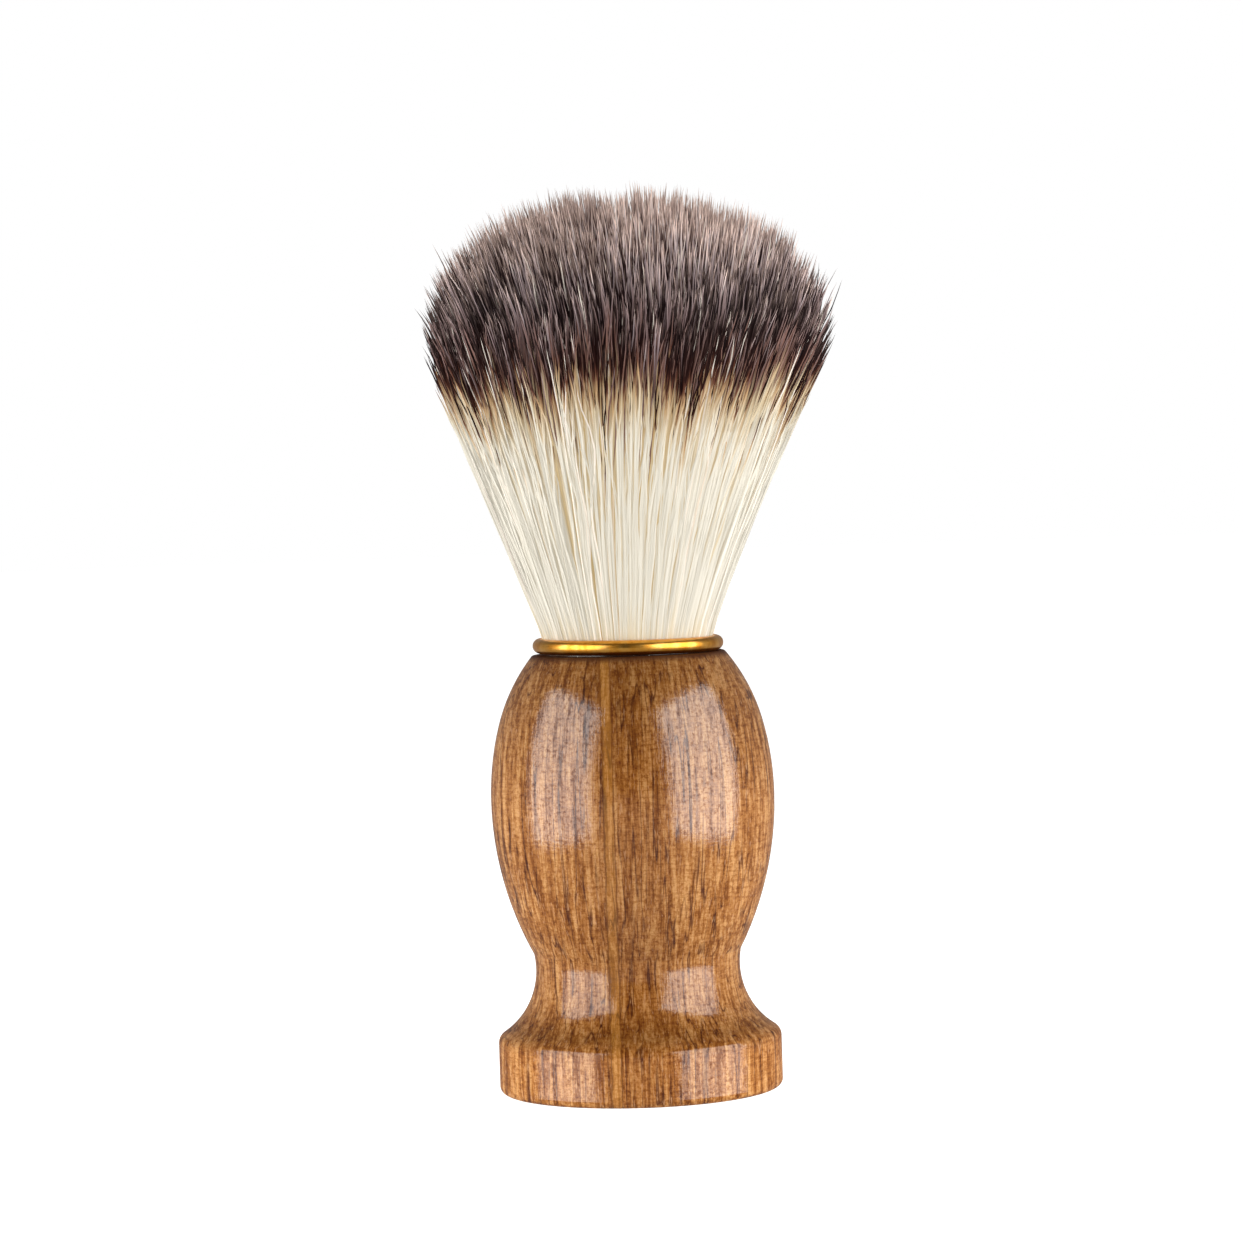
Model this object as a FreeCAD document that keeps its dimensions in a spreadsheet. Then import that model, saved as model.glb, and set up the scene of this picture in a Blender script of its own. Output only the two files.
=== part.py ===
"""Shaving brush: a turned wooden handle, a gold-coloured wire ring and a fan-shaped fibre knot.

Frame: +Z up along the handle's axis, origin at the centre of the flat base, millimetres.
The knot is glued into a blind socket in the handle. Its fibres are tied with thread and set in a
resin plug. They flex in use, so the soft bundle is three solids: a root that stays with the handle,
a short bending zone and a crown that swings about a line through the bending zone.
"""

import FreeCAD, Part
import math
import os

import Sketcher
from FreeCAD import Placement, Rotation, Vector

# Driving dimensions, in millimetres and degrees.
DIMENSIONS = {
    # handle outline, from the base upwards
    "base_radius": 16.35,
    "rim_height": 6.45,
    "foot_round": 0.8,
    "rim_round": 1.2,
    "cove_radius": 8.9,
    "arris_radius": 11.95,
    "arris_height": 15.95,
    "belly_radius": 16.35,
    "belly_height": 33.8,
    "belly_curve": 33.0,
    "shoulder_height": 42.5,
    "neck_radius": 11.1,
    "neck_round": 0.35,
    "handle_height": 50.4,
    # socket for the knot
    "socket_radius": 9.5,
    "socket_depth": 13.0,
    "point_radius": 1.6,
    "point_depth": 1.0,
    # resin plug at the knot's foot
    "plug_radius": 9.1,
    "plug_height": 11.4,
    "plug_chamfer": 0.6,
    "glue_bed": 0.6,
    "glue_bead": 0.15,
    # thread that ties the fibres
    "thread_size": 0.6,
    "thread_pitch": 0.64,
    "thread_turns": 6,
    "thread_height": 6.0,
    "thread_clearance": 0.02,
    "groove_depth": 0.7,
    "groove_length": 4.8,
    # collar ring
    "ring_wire": 0.85,
    "ring_radius": 10.15,
    "ring_height": 51.4,
    "ring_tilt": 0.5,
    # fibre bundle
    "root_radius": 9.05,
    "waist_radius": 9.1,
    "flare_radius": 9.5,
    "flare_height": 52.4,
    "bend_low_radius": 12.4,
    "bend_low_height": 60.0,
    "bend_high_radius": 17.5,
    "bend_high_height": 72.0,
    "fan_radius": 22.3,
    "fan_height": 82.0,
    "crown_radius": 24.2,
    "crown_height": 89.0,
    "overall_height": 105.0,
}

SHEET = "Dimensions"
ORIGIN, AXIS_R, AXIS_Z = -1, -1, -2  # Sketcher's own ids for the origin and the two axes
START, END, CENTRE = 1, 2, 3  # Sketcher's ids for the points of a line or an arc
FULL_TURN = 360
PITCH_AND_TURNS = 1  # the helix mode that is set by its pitch and its number of turns
SAME_PLACE = 1e-4  # two lengths closer than this are the same edge


class Size:
    """A length made from cells of the sheet: its value now, and the expression that keeps it."""

    def __init__(self, *terms):
        names = [t.lstrip("-") for t in terms]
        signs = [-1 if t.startswith("-") else 1 for t in terms]
        self.value = sum(s * DIMENSIONS[n] for s, n in zip(signs, names))
        self.text = "".join(
            f"{'-' if s < 0 else '+'}{SHEET}.{n}" for s, n in zip(signs, names)
        ).lstrip("+")


ON_AXIS = Size()  # a length of zero, which needs no cell


def make_sheet(doc):
    sheet = doc.addObject("Spreadsheet::Sheet", SHEET)
    for row, (alias, value) in enumerate(DIMENSIONS.items(), start=1):
        sheet.set(f"A{row}", alias.replace("_", " "))
        sheet.set(f"B{row}", str(value))
        sheet.setAlias(f"B{row}", alias)
    doc.recompute()


def make_body(doc, label):
    body = doc.addObject("PartDesign::Body", label)
    body.Label = label
    return body


def plane(body, role):
    return next(f for f in body.Origin.OriginFeatures if f.Role == role)


def new_sketch(body, name):
    """A sketch on the body's XZ plane, whose X is the radius and whose Y is the height."""
    sketch = body.newObject("Sketcher::SketchObject", name)
    sketch.AttachmentSupport = [(plane(body, "XZ_Plane"), "")]
    sketch.MapMode = "FlatFace"
    return sketch


def drive(sketch, constraint, size):
    index = sketch.addConstraint(constraint)
    sketch.setExpression(f"Constraints[{index}]", size.text)


def pin_radius(sketch, geometry, point, size):
    if size.text:
        fixed = Sketcher.Constraint("DistanceX", ORIGIN, START, geometry, point, size.value)
        drive(sketch, fixed, size)
    else:
        sketch.addConstraint(Sketcher.Constraint("PointOnObject", geometry, point, AXIS_Z))


def pin_height(sketch, geometry, point, size):
    if size.text:
        fixed = Sketcher.Constraint("DistanceY", ORIGIN, START, geometry, point, size.value)
        drive(sketch, fixed, size)
    else:
        sketch.addConstraint(Sketcher.Constraint("PointOnObject", geometry, point, AXIS_R))


def join(sketch, ends, smooth=()):
    """Closes the outline. Each edge is (geometry, first point, last point).

    An edge in smooth runs on from the edge before it without a corner.
    """
    for edge, following in zip(ends, ends[1:] + ends[:1]):
        kind = "Tangent" if following in smooth else "Coincident"
        there = following[0], following[1]
        sketch.addConstraint(Sketcher.Constraint(kind, edge[0], edge[2], *there))


def add_lines(sketch, corners):
    """Straight edges through the corners, each a pair of Sizes. Returns their ends for join()."""
    ends = []
    for (r0, z0), (r1, z1) in zip(corners, corners[1:]):
        edge = Part.LineSegment(Vector(r0.value, z0.value, 0), Vector(r1.value, z1.value, 0))
        ends.append((sketch.addGeometry(edge), START, END))
    return ends


def pin_corners(sketch, ends, corners):
    for (geometry, first, _), (r, z) in zip(ends, corners):
        pin_radius(sketch, geometry, first, r)
        pin_height(sketch, geometry, first, z)


def add_arc(sketch, centre, start, finish, turning_left):
    """An arc about centre from start to finish, as (radius, height) numbers. Returns its ends."""
    first, last = (start, finish) if turning_left else (finish, start)
    angles = [math.atan2(z - centre[1], r - centre[0]) for r, z in (first, last)]
    circle = Part.Circle(Vector(*centre, 0), Vector(0, 0, 1), math.dist(centre, start))
    geometry = sketch.addGeometry(Part.ArcOfCircle(circle, *angles))
    return (geometry, START, END) if turning_left else (geometry, END, START)


def centre_by_radius(start, finish, radius, on_left):
    """Centre of the arc of that radius through both points, on the left of start to finish or not."""
    dr, dz = finish[0] - start[0], finish[1] - start[1]
    chord = math.hypot(dr, dz)
    away = math.sqrt(radius**2 - chord**2 / 4) * (1 if on_left else -1)
    middle = (start[0] + finish[0]) / 2, (start[1] + finish[1]) / 2
    return middle[0] - dz / chord * away, middle[1] + dr / chord * away


def centre_by_level(end, through, level):
    """Centre, at end's own level, of the arc that is upright at end and passes through a point."""
    dr, dz = end[0] - through[0], through[1] - level
    radius = (dr**2 + dz**2) / (2 * dr)
    return end[0] - radius, level


def revolve(body, sketch, kind="PartDesign::Revolution"):
    feature = body.newObject(kind, f"{sketch.Name}_turned")
    feature.Profile = sketch
    feature.ReferenceAxis = (sketch, ["V_Axis"])
    feature.Angle = FULL_TURN
    sketch.Visibility = False
    body.Document.recompute()
    return feature


def turned_body(doc, label, corners):
    """A body of revolution with a straight-sided outline."""
    body = make_body(doc, label)
    sketch = new_sketch(body, f"{label}_outline")
    ends = add_lines(sketch, corners + corners[:1])
    join(sketch, ends)
    pin_corners(sketch, ends, corners)
    revolve(body, sketch)
    return body


def round_edge(body, name, radius, height, alias):
    """Fillets the circular edge of that radius at that height."""
    tip = body.Tip
    found = [
        f"Edge{i}"
        for i, e in enumerate(tip.Shape.Edges, start=1)
        if isinstance(e.Curve, Part.Circle)
        and abs(e.Curve.Radius - radius) < SAME_PLACE
        and abs(e.Curve.Center.z - height) < SAME_PLACE
    ]
    fillet = body.newObject("PartDesign::Fillet", name)
    fillet.Base = (tip, found)
    fillet.setExpression("Radius", f"{SHEET}.{alias}")
    body.Document.recompute()


def handle_outline(sketch):
    """Base, cove, arris and bulb: straight foot and wall, then four arcs up to the neck."""
    d = DIMENSIONS
    rim = d["base_radius"], d["rim_height"]
    arris = d["arris_radius"], d["arris_height"]
    belly = d["belly_radius"], d["belly_height"]
    rise = d["shoulder_height"] - d["belly_height"]
    inset = d["belly_curve"] - math.sqrt(d["belly_curve"] ** 2 - rise**2)
    shoulder = d["belly_radius"] - inset, d["shoulder_height"]
    neck = d["neck_radius"], d["handle_height"]
    cove_centre = centre_by_radius(rim, arris, d["cove_radius"], on_left=False)
    lower_centre = centre_by_level(belly, arris, d["belly_height"])
    belly_centre = d["belly_radius"] - d["belly_curve"], d["belly_height"]
    slope = math.asin(rise / d["belly_curve"])
    fall = neck[0] - shoulder[0], neck[1] - shoulder[1]
    towards = -math.cos(slope), -math.sin(slope)
    shoulder_curve = (fall[0] ** 2 + fall[1] ** 2) / (
        2 * (fall[0] * towards[0] + fall[1] * towards[1])
    )
    shoulder_centre = (
        shoulder[0] + shoulder_curve * towards[0],
        shoulder[1] + shoulder_curve * towards[1],
    )

    foot = [
        (ON_AXIS, ON_AXIS),
        (Size("base_radius"), ON_AXIS),
        (Size("base_radius"), Size("rim_height")),
    ]
    lines = add_lines(sketch, foot)
    cove = add_arc(sketch, cove_centre, rim, arris, turning_left=False)
    lower = add_arc(sketch, lower_centre, arris, belly, turning_left=True)
    upper = add_arc(sketch, belly_centre, belly, shoulder, turning_left=True)
    crest = add_arc(sketch, shoulder_centre, shoulder, neck, turning_left=True)
    top = [
        (Size("neck_radius"), Size("handle_height")),
        (ON_AXIS, Size("handle_height")),
        (ON_AXIS, ON_AXIS),
    ]
    top_lines = add_lines(sketch, top)

    join(sketch, lines + [cove, lower, upper, crest] + top_lines, smooth=[crest])
    pin_corners(sketch, lines, foot)
    pin_corners(sketch, top_lines, top)
    pin_radius(sketch, cove[0], cove[1], Size("base_radius"))
    pin_height(sketch, cove[0], cove[1], Size("rim_height"))
    drive(sketch, Sketcher.Constraint("Radius", cove[0], d["cove_radius"]), Size("cove_radius"))
    pin_radius(sketch, lower[0], lower[1], Size("arris_radius"))
    pin_height(sketch, lower[0], lower[1], Size("arris_height"))
    pin_radius(sketch, upper[0], upper[1], Size("belly_radius"))
    pin_height(sketch, upper[0], upper[1], Size("belly_height"))
    pin_height(sketch, lower[0], CENTRE, Size("belly_height"))
    pin_height(sketch, upper[0], CENTRE, Size("belly_height"))
    drive(sketch, Sketcher.Constraint("Radius", upper[0], d["belly_curve"]), Size("belly_curve"))
    pin_height(sketch, crest[0], crest[1], Size("shoulder_height"))


def make_handle(doc):
    """Turned wooden handle with its blind socket, whose floor keeps the drill's point mark."""
    body = make_body(doc, "handle_body")
    sketch = new_sketch(body, "handle_outline")
    handle_outline(sketch)
    revolve(body, sketch)
    solid = body.Shape.Volume
    bore = new_sketch(body, "socket_outline")
    floor = Size("handle_height", "-socket_depth")
    corners = [
        (ON_AXIS, Size("handle_height", "-socket_depth", "-point_depth")),
        (Size("point_radius"), floor),
        (Size("socket_radius"), floor),
        (Size("socket_radius"), Size("handle_height")),
        (ON_AXIS, Size("handle_height")),
    ]
    ends = add_lines(bore, corners + corners[:1])
    join(bore, ends)
    pin_corners(bore, ends, corners)
    revolve(body, bore, "PartDesign::Groove")
    d = DIMENSIONS
    if solid - body.Shape.Volume < math.pi * d["socket_radius"] ** 2 * d["socket_depth"]:
        raise RuntimeError("the socket was not cut")
    round_edge(body, "foot_edge", d["base_radius"], 0, "foot_round")
    round_edge(body, "rim_edge", d["base_radius"], d["rim_height"], "rim_round")
    round_edge(body, "neck_edge", d["neck_radius"], d["handle_height"], "neck_round")
    return body


def make_plug(doc):
    """Cured resin foot of the knot, with the waist that the tying thread lies in."""
    bottom = ("handle_height", "-socket_depth", "glue_bed")
    low = (*bottom, "thread_height")
    waist = Size("plug_radius", "-groove_depth")
    corners = [
        (ON_AXIS, Size(*bottom)),
        (Size("plug_radius", "-plug_chamfer"), Size(*bottom)),
        (Size("plug_radius"), Size(*bottom, "plug_chamfer")),
        (Size("plug_radius"), Size(*low)),
        (waist, Size(*low)),
        (waist, Size(*low, "groove_length")),
        (Size("plug_radius"), Size(*low, "groove_length")),
        (Size("plug_radius"), Size(*bottom, "plug_height")),
        (ON_AXIS, Size(*bottom, "plug_height")),
    ]
    return turned_body(doc, "knot_plug", corners)


def make_glue(doc):
    """Epoxy that beds the plug, fills round it and stands in a small bead inside the ring."""
    floor = ("handle_height", "-socket_depth")
    top = Size("handle_height", "glue_bead")
    corners = [
        (ON_AXIS, Size(*floor, "-point_depth")),
        (Size("point_radius"), Size(*floor)),
        (Size("socket_radius"), Size(*floor)),
        (Size("socket_radius"), top),
        (Size("plug_radius"), top),
        (Size("plug_radius"), Size(*floor, "glue_bed")),
        (ON_AXIS, Size(*floor, "glue_bed")),
    ]
    return turned_body(doc, "socket_adhesive", corners)


def make_ring(doc):
    """Round wire ring round the knot's foot, resting on the handle's rim a little out of level."""
    body = make_body(doc, "collar_ring")
    sketch = new_sketch(body, "ring_wire_section")
    wire, radius = Size("ring_wire"), Size("ring_radius")
    circle = sketch.addGeometry(
        Part.Circle(Vector(radius.value, 0, 0), Vector(0, 0, 1), wire.value)
    )
    pin_radius(sketch, circle, CENTRE, radius)
    pin_height(sketch, circle, CENTRE, ON_AXIS)
    drive(sketch, Sketcher.Constraint("Radius", circle, wire.value), wire)
    revolve(body, sketch)
    tilt = Rotation(Vector(0, 1, 0), DIMENSIONS["ring_tilt"])
    body.Placement = Placement(Vector(0, 0, DIMENSIONS["ring_height"]), tilt)
    body.setExpression("Placement.Base.z", f"{SHEET}.ring_height")
    return body


def make_thread(doc):
    """Thread wound round the fibres' butts, lying in the plug's waist."""
    body = make_body(doc, "binding_thread")
    d = DIMENSIONS
    size = Size("thread_size")
    lay = Size("plug_radius", "-groove_depth", "thread_clearance")
    waist = Size("handle_height", "-socket_depth", "glue_bed", "thread_height")
    wound = d["thread_pitch"] * d["thread_turns"]
    centre = Vector(
        lay.value + size.value / 2,
        waist.value + (d["groove_length"] - wound) / 2,
        0,
    )
    sketch = new_sketch(body, "thread_section")
    circle = sketch.addGeometry(Part.Circle(centre, Vector(0, 0, 1), size.value / 2))
    across = Sketcher.Constraint("DistanceX", ORIGIN, START, circle, CENTRE, centre.x)
    sketch.addConstraint(across)
    sketch.setExpression("Constraints[0]", f"{lay.text} + {size.text} / 2")
    upwards = Sketcher.Constraint("DistanceY", ORIGIN, START, circle, CENTRE, centre.y)
    sketch.addConstraint(upwards)
    spare = f"({SHEET}.groove_length - {SHEET}.thread_pitch * {SHEET}.thread_turns)"
    sketch.setExpression("Constraints[1]", f"{waist.text} + {spare} / 2")
    drive(sketch, Sketcher.Constraint("Diameter", circle, size.value), size)
    doc.recompute()
    winding = body.newObject("PartDesign::AdditiveHelix", "thread_turns")
    winding.Profile = sketch
    winding.ReferenceAxis = (sketch, ["V_Axis"])
    winding.Mode = PITCH_AND_TURNS
    winding.setExpression("Pitch", f"{SHEET}.thread_pitch")
    winding.setExpression("Turns", f"{SHEET}.thread_turns")
    doc.recompute()
    return body


def make_fibre_root(doc):
    """The tight foot of the bundle, from the plug through the ring to the bending zone."""
    foot = Size("handle_height", "-socket_depth", "glue_bed", "plug_height")
    corners = [
        (ON_AXIS, foot),
        (Size("root_radius"), foot),
        (Size("waist_radius"), Size("ring_height")),
        (Size("flare_radius"), Size("flare_height")),
        (Size("bend_low_radius"), Size("bend_low_height")),
        (ON_AXIS, Size("bend_low_height")),
    ]
    return turned_body(doc, "fibre_root", corners)


def make_bending_zone(doc):
    """The part of the bundle that bends when the brush is worked."""
    corners = [
        (ON_AXIS, Size("bend_low_height")),
        (Size("bend_low_radius"), Size("bend_low_height")),
        (Size("bend_high_radius"), Size("bend_high_height")),
        (ON_AXIS, Size("bend_high_height")),
    ]
    return turned_body(doc, "fibre_bending_zone", corners)


def make_crown(doc):
    """The fan of fibre tips: flared wall, rounded edge and a domed top."""
    body = make_body(doc, "fibre_crown")
    sketch = new_sketch(body, "crown_outline")
    d = DIMENSIONS
    fan = d["fan_radius"], d["fan_height"]
    edge = d["crown_radius"], d["crown_height"]
    wall = [
        (ON_AXIS, Size("bend_high_height")),
        (Size("bend_high_radius"), Size("bend_high_height")),
        (Size("fan_radius"), Size("fan_height")),
    ]
    lines = add_lines(sketch, wall)
    edge_centre = centre_by_level(edge, fan, d["crown_height"])
    rounding = add_arc(sketch, edge_centre, fan, edge, turning_left=True)
    top = 0, d["overall_height"]
    dome_radius = (edge[0] ** 2 + (top[1] - edge[1]) ** 2) / (2 * (top[1] - edge[1]))
    dome_centre = 0, top[1] - dome_radius
    dome = add_arc(sketch, dome_centre, edge, top, turning_left=True)
    axis = [
        (ON_AXIS, Size("overall_height")),
        (ON_AXIS, Size("bend_high_height")),
    ]
    axis_line = add_lines(sketch, axis)
    join(sketch, lines + [rounding, dome] + axis_line)
    pin_corners(sketch, lines, wall)
    pin_radius(sketch, rounding[0], rounding[1], Size("fan_radius"))
    pin_height(sketch, rounding[0], rounding[1], Size("fan_height"))
    pin_height(sketch, rounding[0], CENTRE, Size("crown_height"))
    pin_radius(sketch, dome[0], dome[1], Size("crown_radius"))
    pin_height(sketch, dome[0], dome[1], Size("crown_height"))
    pin_radius(sketch, dome[0], CENTRE, ON_AXIS)
    pin_radius(sketch, axis_line[0][0], START, ON_AXIS)
    pin_height(sketch, axis_line[0][0], START, Size("overall_height"))
    revolve(body, sketch)
    return body


def check(doc, bodies):
    doc.recompute()
    failed = [o.Name for o in doc.Objects if {"Invalid", "Error"} & set(o.State)]
    if failed:
        raise RuntimeError(f"these objects failed: {failed}")
    for body in bodies:
        shape = body.Shape
        if shape.isNull() or not shape.isValid() or shape.Volume <= 0 or not shape.Solids:
            raise RuntimeError(f"{body.Label} has no valid solid")
        box = shape.BoundBox
        print(f"{body.Label}: {shape.Volume:.1f} mm3, z {box.ZMin:.2f} to {box.ZMax:.2f}")


def main():
    doc = FreeCAD.newDocument("shaving_brush")
    make_sheet(doc)
    makers = (
        make_handle,
        make_glue,
        make_plug,
        make_thread,
        make_ring,
        make_fibre_root,
        make_bending_zone,
        make_crown,
    )
    bodies = [make(doc) for make in makers]
    check(doc, bodies)
    os.makedirs("parts", exist_ok=True)
    for body in bodies:
        body.Shape.exportStep(os.path.join("parts", f"{body.Label}.step"))


main()
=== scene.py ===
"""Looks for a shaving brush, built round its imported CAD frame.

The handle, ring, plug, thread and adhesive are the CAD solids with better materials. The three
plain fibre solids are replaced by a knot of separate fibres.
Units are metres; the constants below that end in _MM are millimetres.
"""

import math

import bpy
import numpy as np
from mathutils import Matrix, Vector


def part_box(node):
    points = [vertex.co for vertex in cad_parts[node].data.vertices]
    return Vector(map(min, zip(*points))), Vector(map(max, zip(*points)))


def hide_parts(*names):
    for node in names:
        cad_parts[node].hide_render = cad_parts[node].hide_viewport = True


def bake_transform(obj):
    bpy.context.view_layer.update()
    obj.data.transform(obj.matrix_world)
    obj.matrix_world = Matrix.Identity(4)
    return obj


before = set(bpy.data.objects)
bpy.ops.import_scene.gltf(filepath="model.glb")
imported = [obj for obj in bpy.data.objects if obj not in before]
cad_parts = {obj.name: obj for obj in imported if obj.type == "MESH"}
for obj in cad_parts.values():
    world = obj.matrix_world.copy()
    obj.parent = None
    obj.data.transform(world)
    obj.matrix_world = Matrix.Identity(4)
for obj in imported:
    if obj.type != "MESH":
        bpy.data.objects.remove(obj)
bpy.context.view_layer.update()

MM = 0.001

# ---------------------------------------------------------------- the knot's outline

RING_RADIUS_MM = 9.15  # of the bundle where it leaves the ring
ROOT_RADIUS_MM = 8.95  # of the bundle in the socket
ROOT_TAPER_MM = 2  # it narrows from one to the other over this length
SWELL_MM = 0.2  # the bundle swells by this just above the ring
SWELL_HEIGHT_MM = 0.6
FLARE = 0.376  # radius gained per millimetre of height
SPREAD = 0.001  # and per square millimetre
DOME_WIDTH_MM = 23.7  # from the middle to the widest place
DOME_HEIGHT_MM = 16.9
DOME_CENTRE_MM = 37.0  # height of the widest place above the ring
DOME_FULLNESS = 2.15  # 2 would be an ellipse
LEAN_MM = 1.3  # the knot's widest place is this far to the right of its foot
LEAN_BACK_MM = 0.9  # and the top of the dome is this much less far to the right
CONE_TURN_MM = 10  # below the widest place, the surface turns downwards over this height
HALVINGS = 30  # of the interval in which the dome's height is searched for


def envelope(rise):
    """Radius of the bundle at a height above the ring, in millimetres."""
    above = np.maximum(rise, 0)
    swell = SWELL_MM * (1 - np.exp(-above / SWELL_HEIGHT_MM))
    flared = RING_RADIUS_MM + swell + FLARE * above + SPREAD * above**2
    narrowing = np.clip(-rise / ROOT_TAPER_MM, 0, 1)
    gathered = RING_RADIUS_MM + (ROOT_RADIUS_MM - RING_RADIUS_MM) * narrowing
    return np.where(rise > 0, flared, gathered)


def lean(rise):
    """Sideways offset of the knot's middle at a height above the ring, in millimetres."""
    back = LEAN_BACK_MM * np.clip((rise - DOME_CENTRE_MM) / DOME_HEIGHT_MM, 0, 1)
    return LEAN_MM * np.clip(rise / DOME_CENTRE_MM, 0, 1) ** 2 - back


def tip_rise(share):
    """Height above the ring where a fibre at that share of the bundle's radius meets the dome."""
    low, high = np.zeros_like(share), np.full_like(share, DOME_CENTRE_MM + DOME_HEIGHT_MM)
    for _ in range(HALVINGS):
        middle = (low + high) / 2
        out = share * envelope(middle) / DOME_WIDTH_MM
        over = np.maximum(middle - DOME_CENTRE_MM, 0) / DOME_HEIGHT_MM
        inside = out**DOME_FULLNESS + over**DOME_FULLNESS < 1
        low, high = np.where(inside, middle, low), np.where(inside, high, middle)
    return low


def bundle_normals(points, ring_z):
    """Outward directions of the whole bundle's surface at each point."""
    rise = points[..., 2] - ring_z
    x, y = points[..., 0] - lean(rise), points[..., 1]
    radius = np.maximum(np.hypot(x, y), 1e-6)
    over = rise - DOME_CENTRE_MM
    dome = over / DOME_HEIGHT_MM**2 * DOME_WIDTH_MM**2 / radius
    cone = np.clip(over / CONE_TURN_MM, -1, 0) * FLARE
    outward = np.stack([x / radius, y / radius, np.where(over > 0, dome, cone)], -1)
    return outward / np.linalg.norm(outward, axis=-1, keepdims=True)


# ---------------------------------------------------------------- where the fibres stand

SEED = 7
FIBRE_COUNT = 16000
TUFT_COUNT = 5500  # a few fibres that cling together
CLUMP_COUNT = 900  # a few tufts that lean towards each other
PATCH_COUNT = 150  # groups of clumps that share a tone
CROWDING = 0.46  # 0.5 would be an even spread; less puts more of them near the outside
FIBRE_JITTER = 0.6  # how far places are moved from a regular pattern
GROUP_JITTER = 1.0
TUFT_PULL = (0.2, 0.45)  # shares of the way to the tuft: just above the ring, and added higher up
CLUMP_PULL = (0.24, 0.14)  # the same, to the clump


def scatter(random, count, jitter):
    """Points spread over a disc of radius 1 like a sunflower's seeds, each moved a little."""
    number = np.arange(count) + 0.5
    share = (number / count) ** CROWDING
    angle = number * np.pi * (3 - math.sqrt(5))
    even = np.stack([share * np.cos(angle), share * np.sin(angle)], 1)
    moved = even + random.normal(0, jitter / math.sqrt(count), (count, 2))
    length = np.hypot(moved[:, 0], moved[:, 1])[:, None]
    return moved / np.maximum(length, 1)


def nearest(places, centres):
    """For each place, the number of the centre that is closest to it."""
    return np.array([np.argmin(((centres - place) ** 2).sum(1)) for place in places])


class Layout:
    """Every fibre's place in a disc of radius 1, and the tuft, clump and patch it belongs to."""

    def __init__(self, random):
        self.places = scatter(random, FIBRE_COUNT, FIBRE_JITTER)
        tufts = scatter(random, TUFT_COUNT, GROUP_JITTER)
        clumps = scatter(random, CLUMP_COUNT, GROUP_JITTER)
        patches = scatter(random, PATCH_COUNT, GROUP_JITTER)
        self.tuft = nearest(self.places, tufts)
        self.clump = nearest(tufts, clumps)[self.tuft]
        self.patch = nearest(clumps, patches)[self.clump]
        self.tuft_places = tufts[self.tuft]
        self.clump_places = clumps[self.clump]
        self.share = np.hypot(self.places[:, 0], self.places[:, 1])

    def gathered(self, tuft_pull, clump_pull):
        """Places, for each step along a fibre, drawn to the tufts and then to the clumps."""
        place = self.places[:, None]
        place = place + (self.tuft_places[:, None] - place) * tuft_pull
        return place + (self.clump_places[:, None] - place) * clump_pull


# ---------------------------------------------------------------- how the fibres run

SEGMENTS = 11  # straight steps along a fibre
STEP_SHORTENING = 1.5  # 1 would make the steps equal; more shortens them towards the tip

# Mean shortening of single fibres and of whole groups, so that the dome isn't smooth.
FIBRE_SHORTER_MM = 1.0
TUFT_SHORTER_MM = 0.6
CLUMP_SHORTER_MM = 0.5
PATCH_SHORTER_MM = 0.5

# Some of the outermost fibres are loose: they are shorter still and stand off the bundle.
LOOSE_FROM = 0.95
LOOSE_SHARE = 0.4
LOOSE_SHORTER_MM = 8
LOOSE_STANDOFF = 0.05
STANDOFF_START_MM = 14
STANDOFF_GROWTH_MM = 22

# How far fibres stray from a straight line, sideways, at 40 mm above the ring.
FULL_STRAY_MM = 40
MOST_STRAY = 1.4
STRAY_MM = 0.34
STRAY_LIMIT_MM = 1.0
WILD_SHARE = 0.05
WILD_MM = 0.25
STRAY_DEVIATIONS = 1.8
TUFT_DRIFT_MM = 0.3

# Waves along the fibres. The turns are a least number and the span that a random share is taken of.
SWAY_MM = 0.2  # of a whole tuft
SWAY_TURNS = (0.8, 1.4)
SWAY_GROWTH_MM = 18
WAVE_MM = 0.17
WAVE_LIMIT_MM = 0.5
WAVE_TURNS = (1.0, 1.8)
WAVE_GROWTH_MM = 20
CRIMP_MM = 0.05
CRIMP_LIMIT_MM = 0.15
CRIMP_TURNS = (4, 3)
CRIMP_START_MM = 8
CRIMP_GROWTH_MM = 20
CURL_MM = 0.3  # sideways, at the tip
CURL_START = 0.84  # share of the length where it starts

# Fibres are kept inside the bundle's outline and this much more, at 40 mm above the ring.
SLACK_SHARE = 0.01
SLACK_MM = 0.2


def steps_along():
    """Shares of a fibre's length where its straight steps meet."""
    return 1 - (1 - np.linspace(0, 1, SEGMENTS + 1)[None, :]) ** STEP_SHORTENING


def risen(rise, start, length):
    """0 up to a height above the ring, growing evenly to 1 over a length."""
    return np.clip((rise - start) / length, 0, 1)


def pull(rise, shares, first_growth, second_start, second_growth):
    """Share of the way to a group's place, which grows above the ring and again higher up."""
    low, high = shares
    return low * risen(rise, 0, first_growth) + high * risen(rise, second_start, second_growth)


def phases(random, count):
    """Random starts for waves in both sideways directions."""
    return random.random((count, 1, 2)) * 2 * np.pi


def turns(random, count, limits):
    """Random numbers of waves along a fibre."""
    least, span = limits
    return least + span * random.random((count, 1, 1))


def ripple(size, turn_count, phase, step):
    """Sideways offsets of a wave along the fibres."""
    return size * np.sin(turn_count * 2 * np.pi * step + phase)


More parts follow.
